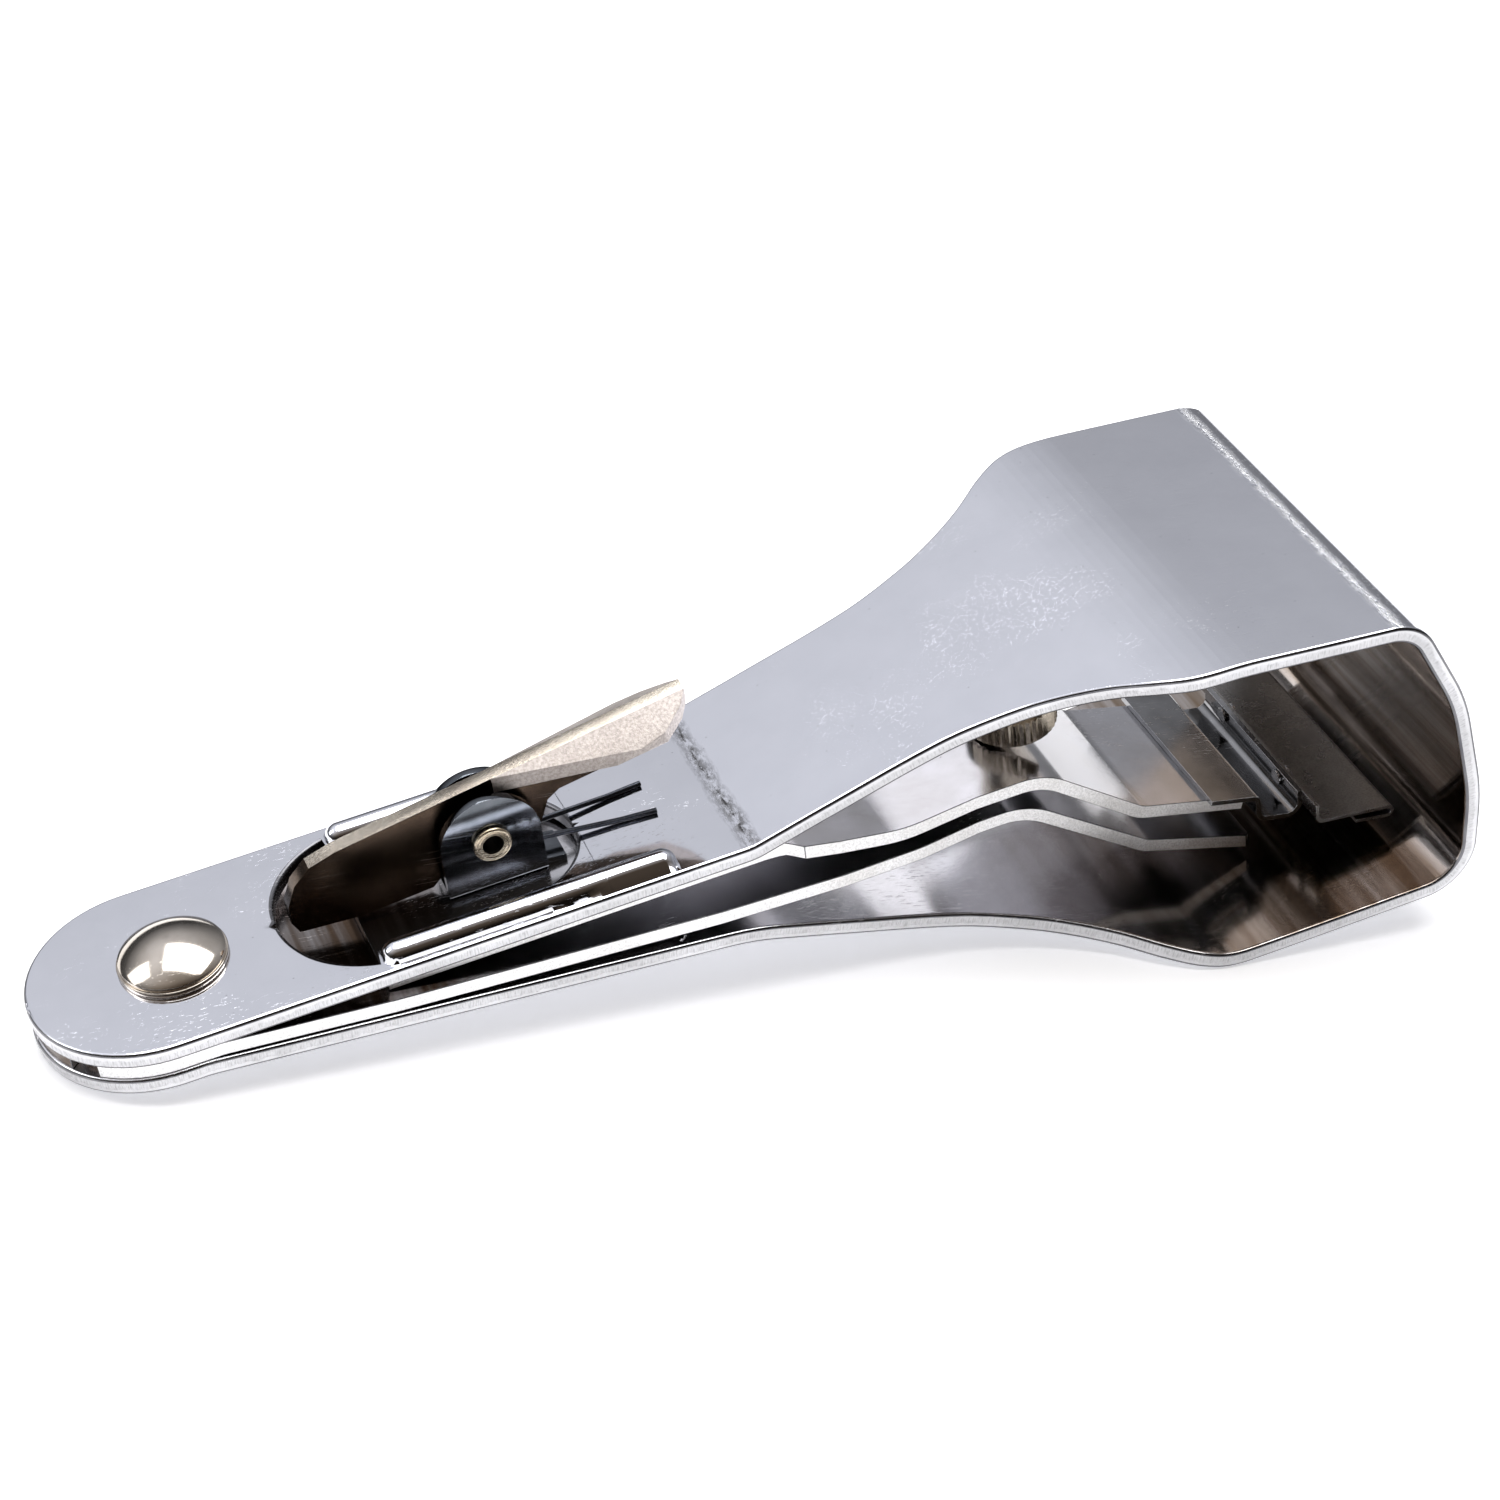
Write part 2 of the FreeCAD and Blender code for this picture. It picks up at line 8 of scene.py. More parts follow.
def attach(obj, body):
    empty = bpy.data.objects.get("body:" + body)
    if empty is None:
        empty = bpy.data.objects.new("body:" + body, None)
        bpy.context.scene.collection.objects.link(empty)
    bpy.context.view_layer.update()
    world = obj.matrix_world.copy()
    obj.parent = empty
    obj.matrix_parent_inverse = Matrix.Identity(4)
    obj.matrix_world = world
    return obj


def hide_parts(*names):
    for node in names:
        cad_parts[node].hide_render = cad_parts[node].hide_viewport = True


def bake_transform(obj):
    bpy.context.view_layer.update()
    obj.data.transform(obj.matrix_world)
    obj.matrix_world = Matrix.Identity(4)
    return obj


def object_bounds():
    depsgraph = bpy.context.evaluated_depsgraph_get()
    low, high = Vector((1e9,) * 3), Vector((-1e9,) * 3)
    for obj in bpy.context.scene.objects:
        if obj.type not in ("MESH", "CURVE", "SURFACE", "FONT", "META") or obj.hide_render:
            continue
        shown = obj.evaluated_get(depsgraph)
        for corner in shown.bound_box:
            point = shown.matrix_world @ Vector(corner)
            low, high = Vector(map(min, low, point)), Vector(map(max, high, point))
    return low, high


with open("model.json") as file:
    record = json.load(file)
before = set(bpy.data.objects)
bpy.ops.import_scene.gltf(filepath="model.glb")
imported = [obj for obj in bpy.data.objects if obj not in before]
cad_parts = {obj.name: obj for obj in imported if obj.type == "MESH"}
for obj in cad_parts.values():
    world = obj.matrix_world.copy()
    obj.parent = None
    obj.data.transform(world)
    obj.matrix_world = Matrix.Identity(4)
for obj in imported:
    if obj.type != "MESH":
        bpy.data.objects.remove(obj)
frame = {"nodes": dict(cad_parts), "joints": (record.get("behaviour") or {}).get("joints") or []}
cad_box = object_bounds()

# ---------------------------------------------------------------- plane of the riveted tip
# Lengths below are millimetres along the tip's own X and Z, as the strips are drawn in the CAD model.
MM = 0.001
CREASE_X = 63.6
STRIP_T = 1.6
joints = {joint["name"]: joint for joint in frame["joints"]}
AXIS_Z = Vector(joints["screw_turn"]["axis"]).normalized()
AXIS_X = Vector((AXIS_Z.z, 0.0, -AXIS_Z.x))
ORIGIN = Vector(joints["squeeze"]["pos_m"]) - MM * (CREASE_X * AXIS_X - 0.5 * STRIP_T * AXIS_Z)


def at(x, y, z):
    """The scene's point for a place in the tip's plane."""
    return ORIGIN + MM * (x * AXIS_X + z * AXIS_Z) + Vector((0.0, MM * y, 0.0))


def local(point):
    """The place in the tip's plane of a point of the scene."""
    offset = (Vector(point) - ORIGIN) / MM
    return offset.dot(AXIS_X), offset.y, offset.dot(AXIS_Z)


def placed(name, data):
    """A new object with this data, in the scene."""
    obj = bpy.data.objects.new(name, data)
    bpy.context.scene.collection.objects.link(obj)
    return obj


# ---------------------------------------------------------------- shader helpers
# Angle between the tip's plane and the floor, for marks that follow the strip
LEAN = 0.19
NO_TURN = (0.0, 0.0, 0.0)
# A strip's UV is its length and width times this, and its cut edge has the depth on a larger scale
UV_SCALE = 0.01
EDGE_UV_SCALE = 0.1


def add(tree, kind, links=None, **values):
    """A new node, with links from each input to a socket or a plain value."""
    node = tree.nodes.new(kind)
    for key, value in values.items():
        setattr(node, key, value)
    for key, value in (links or {}).items():
        socket = node.inputs[key]
        if isinstance(value, bpy.types.NodeSocket):
            tree.links.new(value, socket)
        else:
            socket.default_value = value
    return node


def maths(tree, operation, a, b=0.0, clamp=False):
    return add(tree, "ShaderNodeMath", {0: a, 1: b}, operation=operation, use_clamp=clamp).outputs[0]


def plus(tree, a, b):
    return maths(tree, "ADD", a, b)


def minus(tree, a, b):
    return maths(tree, "SUBTRACT", a, b)


def times(tree, a, b):
    return maths(tree, "MULTIPLY", a, b)


def ramp(tree, value, stops):
    """A ramp through (position, grey or colour) stops."""
    node = add(tree, "ShaderNodeValToRGB", {"Fac": value})
    elements = node.color_ramp.elements
    while len(elements) < len(stops):
        elements.new(0.5)
    for element, (position, colour) in zip(elements, stops):
        element.position = position
        grey = isinstance(colour, (int, float))
        element.color = (colour, colour, colour, 1.0) if grey else (*colour, 1.0)
    return node.outputs["Color"]


def noise(tree, vector, scale, detail=2.0, rough=0.5):
    links = {"Vector": vector, "Scale": scale, "Detail": detail, "Roughness": rough}
    return add(tree, "ShaderNodeTexNoise", links).outputs["Fac"]


def stretched(tree, vector, scale, turn=NO_TURN):
    links = {"Vector": vector, "Rotation": turn, "Scale": scale}
    return add(tree, "ShaderNodeMapping", links).outputs["Vector"]


def parts_of(tree, vector):
    return add(tree, "ShaderNodeSeparateXYZ", {"Vector": vector}).outputs


def mixed(tree, factor, a, b):
    """Colour a, turned into colour b by a factor."""
    node = add(tree, "ShaderNodeMix", data_type="RGBA")
    for socket, value in ((node.inputs[0], factor), (node.inputs[6], a), (node.inputs[7], b)):
        if isinstance(value, bpy.types.NodeSocket):
            tree.links.new(value, socket)
        elif socket.type == "RGBA":
            socket.default_value = (*value, 1.0)
        else:
            socket.default_value = value
    return node.outputs[2]


def band(tree, value, centre, half):
    """1 at the centre of a band and 0 at its borders."""
    off = maths(tree, "ABSOLUTE", minus(tree, value, centre))
    return maths(tree, "SUBTRACT", 1.0, maths(tree, "DIVIDE", off, half), clamp=True)


def darker(colour, factor):
    return tuple(factor * part for part in colour)


# ---------------------------------------------------------------- metal
# Depths of marks in the surface, in millimetres
SCRATCH_DEPTH = 0.006
PIT_DEPTH = 0.02
TEAR_DEPTH = 0.05
PIT_TINT = (0.10, 0.09, 0.08)
SCRATCH_TINT = (0.95, 0.95, 0.95)


def scratches(tree, place, fineness, turn, detail, levels):
    """Long thin lines, where a noise stretched along them is between the first and last of three levels."""
    low, peak, high = levels
    along = stretched(tree, place, (0.01 * fineness, fineness, fineness), (0.0, LEAN, turn))
    streak = noise(tree, along, 1.0, detail)
    return ramp(tree, streak, ((0.0, 0.0), (low, 0.0), (peak, 1.0), (high, 0.0)))


def pitting(tree, place, specks):
    """Small dots, here and there."""
    cells = add(tree, "ShaderNodeTexVoronoi", {"Vector": place, "Scale": 0.75})
    dots = ramp(tree, cells.outputs["Distance"], ((0.0, 1.0), (0.09, 0.0)))
    return times(tree, dots, ramp(tree, noise(tree, place, 0.3, 1.0), ((0.5, 0.0), (0.6, specks))))


def metal(name, light, dark, rough=(0.05, 0.12), wave=0.012, scratch=0.5, specks=0.35, grain=0.0,
          grain_scale=9.0, wear_and_painted_light=None):
    """Polished or brushed metal with tone changes, scratches, pits and ripple, optional grain, and an
    optional layer of wear and painted light.
    """
    material = bpy.data.materials.new(name)
    material.use_nodes = True
    tree = material.node_tree
    tree.nodes.clear()
    coords = add(tree, "ShaderNodeTexCoord")
    place = stretched(tree, coords.outputs["Object"], (1.0 / MM, 1.0 / MM, 1.0 / MM))

    shallow = scratches(tree, place, 5.0, 0.35, 2.0, (0.66, 0.70, 0.74))
    steep = scratches(tree, place, 7.0, -0.85, 1.0, (0.68, 0.71, 0.75))
    patch = ramp(tree, noise(tree, place, 0.09, 2.0), ((0.42, 0.0), (0.62, 1.0)))
    lines = times(tree, times(tree, maths(tree, "MAXIMUM", shallow, steep), patch), scratch)
    pits = pitting(tree, place, specks)

    cloud = noise(tree, place, 0.16, 4.0, 0.6)
    colour = mixed(tree, ramp(tree, cloud, ((0.3, 0.0), (0.7, 1.0))), dark, light)
    colour = mixed(tree, pits, colour, PIT_TINT)
    colour = mixed(tree, times(tree, lines, 0.35), colour, SCRATCH_TINT)
    roughness = plus(tree, rough[0], times(tree, cloud, rough[1] - rough[0]))
    roughness = plus(tree, roughness, times(tree, plus(tree, lines, pits), 0.25))
    height = times(tree, noise(tree, place, 0.11, 2.0), wave)
    height = minus(tree, height, times(tree, lines, SCRATCH_DEPTH))
    height = minus(tree, height, times(tree, pits, PIT_DEPTH))
    if grain:
        height = plus(tree, height, times(tree, noise(tree, place, grain_scale, 4.0, 0.7), grain))
        coarse = noise(tree, place, grain_scale * 0.6, 3.0, 0.7)
        spots = ramp(tree, coarse, ((0.35, 1.0), (0.6, 0.0)))
        colour = mixed(tree, times(tree, spots, 0.5), colour, darker(dark, 0.45))
    if wear_and_painted_light:
        colour, roughness, height = wear_and_painted_light(tree, coords, place, colour, roughness, height)

    bump = add(tree, "ShaderNodeBump", {"Height": height, "Distance": MM, "Strength": 1.0})
    shader = add(tree, "ShaderNodeBsdfPrincipled", {
        "Base Color": colour, "Roughness": roughness, "Metallic": 1.0, "Normal": bump.outputs["Normal"]})
    output = add(tree, "ShaderNodeOutputMaterial", {"Surface": shader.outputs["BSDF"]})
    output.is_active_output = True
    return material


def bend_plating_and_highlight(marks):
    """Rough or cracked plating across the strip, for marks of (length, half width, tint, raised by); a white
    tint is a painted highlight.
    """
    def wear_and_painted_light(tree, coords, place, colour, roughness, height):
        along = times(tree, parts_of(tree, coords.outputs["UV"])["X"], 1.0 / UV_SCALE)
        for centre, half, tint, lift in marks:
            wander = times(tree, minus(tree, noise(tree, place, 0.35, 3.0), 0.5), half)
            line = band(tree, plus(tree, along, wander), centre, half)
            flakes = noise(tree, stretched(tree, place, (2.2, 0.8, 2.2), (0.0, LEAN, 0.0)), 1.0, 5.0, 0.75)
            chips_and_highlight = times(tree, line, ramp(tree, flakes, ((0.40, 0.0), (0.56, 1.0))))
            # A dark tint is cracked plating; the white tint is a painted highlight on the rough stretched
            # plating
            colour = mixed(tree, chips_and_highlight, colour, tint)
            roughness = plus(tree, roughness, times(tree, chips_and_highlight, 0.35))
            height = plus(tree, height, times(tree, chips_and_highlight, lift))
        return colour, roughness, height
    return wear_and_painted_light


def sheared(name, light, dark):
    """Cut edge of a strip: a smooth burnished lip above a torn band with fine upright lines."""
    def wear_and_painted_light(tree, coords, place, colour, roughness, height):
        depth = parts_of(tree, coords.outputs["UV"])["Y"]
        unevenness = times(tree, minus(tree, noise(tree, place, 0.8, 3.0, 0.6), 0.5), 0.08)
        torn = ramp(tree, plus(tree, depth, unevenness), ((0.05, 0.0), (0.075, 1.0)))
        lines = noise(tree, stretched(tree, coords.outputs["UV"], (700.0, 9.0, 1.0)), 1.0, 3.0, 0.7)
        dark_lines = times(tree, ramp(tree, lines, ((0.35, 1.0), (0.55, 0.0))), torn)
        colour = mixed(tree, times(tree, dark_lines, 0.6), colour, darker(dark, 0.5))
        roughness = plus(tree, roughness, times(tree, torn, 0.22))
        height = plus(tree, height, times(tree, times(tree, lines, torn), TEAR_DEPTH))
        return colour, roughness, height
    return metal(name, light, dark, rough=(0.12, 0.24), wear_and_painted_light=wear_and_painted_light)


def painted_brown_reflection(start, stop, tint):
    """Painted brown reflection with streaks across the width, which grows from start to stop along the
    scene's X.
    """
    def wear_and_painted_light(tree, coords, place, colour, roughness, height):
        past = minus(tree, parts_of(tree, place)["X"], start)
        reach = maths(tree, "DIVIDE", past, stop - start, clamp=True)
        streaks = noise(tree, stretched(tree, place, (0.55, 0.03, 0.55)), 1.0, 3.0, 0.6)
        reflection_amount = times(tree, reach, ramp(tree, streaks, ((0.36, 0.55), (0.62, 1.0))))
        return mixed(tree, reflection_amount, colour, tint), roughness, height
    return wear_and_painted_light


# Length along the strip where its top bend is stretched and carries a painted highlight
TOP_BEND_LENGTH = 123.9
cracked_crease = (CREASE_X, 1.1, (0.03, 0.028, 0.028), -0.006)
# Rough stretched plating at the top bend, with a painted white highlight
stretched_bend_with_highlight = (TOP_BEND_LENGTH, 0.9, (1.0, 1.0, 1.0), 0.04)

chrome_outer = metal("chrome_strip_outer", (0.77, 0.78, 0.83), (0.73, 0.74, 0.79), rough=(0.04, 0.10),
                     wear_and_painted_light=bend_plating_and_highlight((cracked_crease, stretched_bend_with_highlight)))
# The strip's inner face has a painted brown reflection, growing along X
chrome_inner = metal("chrome_strip_inner", (0.90, 0.90, 0.93), (0.80, 0.79, 0.80), rough=(0.10, 0.18),
                     wear_and_painted_light=painted_brown_reflection(22.0, 50.0, (0.24, 0.18, 0.13)))
cut_edge = sheared("sheared_edge", (0.66, 0.66, 0.68), (0.50, 0.50, 0.51))
leaf_edge = metal("leaf_edge", (0.92, 0.92, 0.93), (0.74, 0.73, 0.72), rough=(0.30, 0.42), grain=0.02)
# Rounded lips, opening rims and leaf bevels: painted dark, standing for the dark reflection they show
lip_painted_dark = metal("edge_lip_painted_dark", (0.22, 0.22, 0.23), (0.10, 0.10, 0.11), rough=(0.18, 0.30))
bore_metal = metal("rivet_bore", (0.07, 0.06, 0.05), (0.03, 0.03, 0.03), rough=(0.35, 0.50))
# Bevels of the yoke, tip clip and cross strip: a painted highlight along the rounded edges
highlight_rim = metal("rim_painted_highlight", (0.86, 0.87, 0.90), (0.66, 0.67, 0.70), rough=(0.08, 0.18))
# The leaf has a painted brown reflection, growing towards -X
chrome_leaf = metal("chrome_leaf", (0.66, 0.66, 0.69), (0.54, 0.53, 0.54), rough=(0.13, 0.22),
                    wear_and_painted_light=painted_brown_reflection(-25.0, -32.0, (0.09, 0.06, 0.04)))
rivet_metal = metal("rivet_chrome", (0.62, 0.57, 0.51), (0.46, 0.41, 0.35), rough=(0.06, 0.16), scratch=0.9)
yoke_metal = metal("dark_chrome", (0.17, 0.18, 0.20), (0.08, 0.09, 0.10), rough=(0.07, 0.14))
tube_metal = metal("tubular_rivet", (0.78, 0.70, 0.55), (0.60, 0.50, 0.36), rough=(0.16, 0.30), grain=0.02)
# Lever sides: smooth metal with a painted dark brown reflection
lever_side_dark_reflection = metal("lever_smooth_painted_reflection", (0.12, 0.085, 0.06), (0.045, 0.03, 0.02), rough=(0.14, 0.26),
                   grain=0.006)
lever_grain = metal("lever_nickel_grain", (0.56, 0.51, 0.48), (0.36, 0.32, 0.29), rough=(0.45, 0.58),
                    grain=0.05, grain_scale=6.0)
lever_top = metal("lever_cut_edge", (0.72, 0.66, 0.56), (0.55, 0.48, 0.40), rough=(0.18, 0.32), grain=0.03)
wire_metal = metal("spring_wire", (0.10, 0.11, 0.13), (0.04, 0.04, 0.05), rough=(0.22, 0.34), grain=0.01)
screw_metal = metal("screw_steel", (0.50, 0.45, 0.38), (0.30, 0.26, 0.21), rough=(0.12, 0.22), grain=0.01)
clip_metal = metal("clip_chrome", (0.34, 0.34, 0.35), (0.20, 0.20, 0.20), rough=(0.10, 0.20), scratch=0.9)
dull_steel = metal("strip_steel", (0.36, 0.35, 0.34), (0.26, 0.25, 0.24), rough=(0.22, 0.34), grain=0.015)


# ---------------------------------------------------------------- path and width of the outer strip
ARM_HALF = 10.9
GRIP_HALF = 20.6
TIP_R = 10.9
EDGE_R = 0.30
# Opening: a round end, straight sides from the step, and a smaller round end
SLOT_X = 32.2
SLOT_R = 9.6
SLOT_HALF = 7.3
SLOT_STEP = 29.5
SLOT_END = 43.0
# Pressed beads beside the opening
BEAD_Y = 8.9
BEAD_R = 1.35
BEAD_X0 = 31.0
BEAD_X1 = 55.6
# Where the upper mesh meets the lower one, at the top bend
SPLIT_X = 121.95
# Outer face from the riveted tip round the loop and back, with the radius of each bend
PATH = [(0.0, 0.0), (CREASE_X, 0.0), (103.4, 10.5), (124.9, 8.1), (129.8, -2.5), (131.7, -14.0),
        (131.2, -25.1), (105.5, -25.3), (62.5, -10.8), (13.0, -4.6), (0.0, -4.6)]
BENDS = [0.0, 5.0, 30.0, 5.4, 22.0, 26.0, 5.4, 12.0, 22.0, 10.0, 0.0]
PATH_STEP = 1.2
# Half width along X where the arm flares into the grip
FLARE = [(70.0, ARM_HALF), (82.0, 11.15), (88.0, 12.3), (92.0, 13.7), (96.0, 15.8), (99.5, 18.3),
         (102.5, 19.9), (106.0, GRIP_HALF - 0.2), (140.0, GRIP_HALF + 0.22)]


def unit(a, b):
    length = math.hypot(b[0] - a[0], b[1] - a[1])
    return (b[0] - a[0]) / length, (b[1] - a[1]) / length


def filleted(points, radii, step):
    """Points (length, x, z, nx, nz) along straight runs joined by arcs; n is the right-hand normal."""
    found = []
    start, travelled = points[0], 0.0
    for i in range(1, len(points)):
        corner, radius = points[i], radii[i]
        u = unit(points[i - 1], corner)
        cut, angle = 0.0, 0.0
        if i < len(points) - 1:
            v = unit(corner, points[i + 1])
            cross = u[0] * v[1] - u[1] * v[0]
            angle = math.acos(max(-1.0, min(1.0, u[0] * v[0] + u[1] * v[1])))
            cut = radius * math.tan(angle / 2.0)
        stop = (corner[0] - u[0] * cut, corner[1] - u[1] * cut)
        run = math.hypot(stop[0] - start[0], stop[1] - start[1])
        count = max(1, math.ceil(run / step))
        for k in range(count + 1):
            gone = run * k / count
            found.append((travelled + gone, start[0] + u[0] * gone, start[1] + u[1] * gone, u[1], -u[0]))
        travelled += run
        if angle > 0.0:
            side = 1.0 if cross > 0 else -1.0
            centre = (stop[0] - side * u[1] * radius, stop[1] + side * u[0] * radius)
            count = max(2, math.ceil(angle / math.radians(3.0)), math.ceil(angle * radius / step))
            for k in range(1, count):
                turn = side * angle * k / count
                c, s = math.cos(turn), math.sin(turn)
                nx, nz = u[1] * c + u[0] * s, u[1] * s - u[0] * c
                found.append((travelled + angle * radius * k / count,
                              centre[0] + side * nx * radius, centre[1] + side * nz * radius, nx, nz))
            travelled += angle * radius
            start = (corner[0] + v[0] * cut, corner[1] + v[1] * cut)
    return found


def between(samples, length):
    """The point of the path at a given length."""
    for a, b in zip(samples, samples[1:]):
        if a[0] <= length <= b[0] and b[0] > a[0]:
            f = (length - a[0]) / (b[0] - a[0])
            return tuple(p + (q - p) * f for p, q in zip(a, b))
    return samples[-1]


def length_at(samples, x, forward):
    """Length at which the path passes x, on its way out (forward) or on its way back."""
    order = samples if forward else samples[::-1]
    for a, b in zip(order, order[1:]):
        if a[1] <= x <= b[1] and b[1] > a[1]:
            return a[0] + (b[0] - a[0]) * (x - a[1]) / (b[1] - a[1])
    return order[-1][0]


def spline(knots, x):
    """Smooth cubic through (x, value) knots."""
    if x <= knots[0][0]:
        return knots[0][1]
    for i in range(len(knots) - 1):
        (x0, y0), (x1, y1) = knots[i], knots[i + 1]
        if x <= x1:
            before = knots[max(i - 1, 0)]
            after = knots[min(i + 2, len(knots) - 1)]
            m0 = (y1 - before[1]) / (x1 - before[0])
            m1 = (after[1] - y0) / (after[0] - x0)
            h = x1 - x0
            t = (x - x0) / h
            return ((2 * t ** 3 - 3 * t * t + 1) * y0 + (t ** 3 - 2 * t * t + t) * h * m0
                    + (3 * t * t - 2 * t ** 3) * y1 + (t ** 3 - t * t) * h * m1)
    return knots[-1][1]


def outer_half(x):
    """Half width, and how an inset of the outline moves a point along X and across Y."""
    if x < TIP_R:
        side = math.acos(max(-1.0, min(1.0, (TIP_R - x) / TIP_R)))
        return TIP_R * math.sin(side), math.cos(side), math.sin(side)
    return spline(FLARE, x), 0.0, 1.0


def slot_half(x):
    """Half width of the opening at x, and how its rim moves along X when inset."""
    if SLOT_X - SLOT_R < x < SLOT_STEP:
        return math.sqrt(SLOT_R ** 2 - (SLOT_X - x) ** 2), -(SLOT_X - x) / SLOT_R
    if SLOT_STEP <= x <= SLOT_END:
        return SLOT_HALF, 0.0
    if SLOT_END < x < SLOT_END + SLOT_HALF:
        return math.sqrt(SLOT_HALF ** 2 - (x - SLOT_END) ** 2), (x - SLOT_END) / SLOT_HALF
    return 0.0, 0.0


def flat(x, y):
    return 0.0


def bead(radius, sunk):
    """Height above the strip's face of a round-ended bead, whose axis is sunk below the face."""
    def height(x, y):
        along = max(BEAD_X0 - x, x - BEAD_X1, 0.0)
        rest = radius ** 2 - along ** 2 - (y - BEAD_Y) ** 2
        return max(0.0, math.sqrt(rest) - sunk) if rest > 0.0 else 0.0
    return height


# ---------------------------------------------------------------- cross-sections and mesh of the outer strip
TOP_STEPS = 30
# Rounded edges, and the width of the narrow faces that keep the shading of flat faces flat
ROUNDING = [math.radians(angle) for angle in (30, 60, 90)]
EDGE_MARGIN = 0.05
TOP_MARGIN = 0.04
FACE_OF = {"top": 0, "under": 1, "side": 2, "rim": 3, "lip": 3}
CUT_FACE = FACE_OF["side"]


def section(station):
    """Half of one cross-section (y > 0) as points (x shift, y, depth, group), round from its inner top."""
    x, w, s = station["x"], station["w"], station["s"]
    dx, dy, dx_in = station["dx"], station["dy"], station["dx_in"]
    rim = min(EDGE_R, s)

    def outline(angle):
        inset = EDGE_R * (1.0 - math.sin(angle))
        return inset * dx, w - inset * dy, EDGE_R * (1.0 - math.cos(angle))

    def opening(angle):
        inset = rim * (1.0 - math.sin(angle))
        return inset * dx_in, s + inset, rim * (1.0 - math.cos(angle))

    rows = []
    for i in range(TOP_STEPS + 1):
        f = i / TOP_STEPS
        y = s + rim + (w - EDGE_R * dy - s - rim) * f
        rows.append((y, rim * dx_in * (1 - f) + EDGE_R * dx * f))
    rows[-2] = (rows[-1][0] - TOP_MARGIN * min(1.0, w), rows[-1][1])

    ring = [(shift, y, -station["up"](x, y), "top") for y, shift in rows]
    for angle in ROUNDING:
        ring.append((*outline(angle), "top" if angle == ROUNDING[0] else "lip"))
    for depth in (EDGE_R + EDGE_MARGIN, STRIP_T - EDGE_R - EDGE_MARGIN, STRIP_T - EDGE_R):
        ring.append((0.0, w, depth, "side"))
    for angle in ROUNDING[1::-1]:
        shift, y, depth = outline(angle)
        ring.append((shift, y, STRIP_T - depth, "lip"))
    ring += [(shift, y, STRIP_T - station["under"](x, y), "under") for y, shift in reversed(rows)]
    for angle in ROUNDING:
        shift, y, depth = opening(angle)
        ring.append((shift, y, STRIP_T - depth, "rim"))
    for depth in (STRIP_T - rim - EDGE_MARGIN, rim + EDGE_MARGIN, rim):
        ring.append((0.0, s, depth, "rim"))
    for angle in ROUNDING[1::-1]:
        ring.append((*opening(angle), "rim"))
    return ring


def strip_stations(samples, lengths, beads, opened):
    """Stations at these lengths, with (upper, under) bead heights on the arm and an opening if opened."""
    stations = []
    for length in sorted(set(round(v, 4) for v in lengths)):
        travelled, x, z, nx, nz = between(samples, length)
        on_arm = x < CREASE_X
        up, under = beads if on_arm else (flat, flat)
        w, dx, dy = outer_half(x)
        s, dx_in = slot_half(x) if opened and on_arm else (0.0, 0.0)
        stations.append({"x": x, "z": z, "nx": nx, "nz": nz, "length": travelled, "w": w, "dx": dx, "dy": dy,
                         "s": s, "dx_in": dx_in, "up": up, "under": under})
    return stations


def strip_rings(bm, stations, side):
    """Rings of (vertex, length, y, depth, group), one for each station, on one side of the middle plane."""
    rings = []
    for station in stations:
        ring = []
        for shift, y, depth, group in section(station):
            x = station["x"] + station["nx"] * depth + shift
            z = station["z"] + station["nz"] * depth
            ring.append((bm.verts.new(at(x, side * y, z)), station["length"], y, depth, group))
        rings.append(ring)
    return rings


def join_rings(bm, uv, a, b, side, solid):
    """Faces between two rings; a solid stretch has no opening, so it has no rim."""
    count = len(a)
    for k in range(count):
        m = (k + 1) % count
        group = a[m][4] if m else "rim"
        if group == "rim" and solid:
            continue
        quad = [a[k], b[k], b[m], a[m]]
        if side > 0:
            quad.reverse()
        face = bm.faces.new([corner[0] for corner in quad])
        face.material_index = FACE_OF[group]
        face.smooth = True
        for loop, corner in zip(face.loops, quad):
            length, y, depth = corner[1:4]
            across = depth * EDGE_UV_SCALE if face.material_index == CUT_FACE else y * UV_SCALE
            loop[uv].uv = (length * UV_SCALE, across)


def strip_object(name, stations, materials):
    """Closed mesh of a strip; its materials are for the outer face, inner face, cut edges and lips, which are
    painted dark as a reflection.
    """
    bm = bmesh.new()
    uv = bm.loops.layers.uv.new("UVMap")
    far_rings = strip_rings(bm, stations, 1.0)
    near_rings = strip_rings(bm, stations, -1.0)
    for rings, side in ((far_rings, 1.0), (near_rings, -1.0)):
        for a, b, station, following in zip(rings, rings[1:], stations, stations[1:]):
            join_rings(bm, uv, a, b, side, station["s"] <= 0.0 and following["s"] <= 0.0)
    for end in (0, -1):
        far = [corner[0] for corner in far_rings[end] if corner[4] != "rim"]
        near = [corner[0] for corner in near_rings[end] if corner[4] != "rim"]
        cap = bm.faces.new(far + near[::-1])
        cap.material_index = CUT_FACE
    bmesh.ops.remove_doubles(bm, verts=bm.verts, dist=2e-6)
    bmesh.ops.dissolve_degenerate(bm, dist=1e-6, edges=bm.edges)
    bmesh.ops.delete(bm, geom=[v for v in bm.verts if not v.link_faces], context="VERTS")
    bmesh.ops.recalc_face_normals(bm, faces=bm.faces)
    mesh = bpy.data.meshes.new(name)
    bm.to_mesh(mesh)
    bm.free()
    for material in materials:
        mesh.materials.append(material)
    mesh.set_sharp_from_angle(angle=math.radians(50))
    raw = placed(name + "_raw", mesh)
    raw.modifiers.new("normals", "WEIGHTED_NORMAL").keep_sharp = True
    return settled(raw, name)


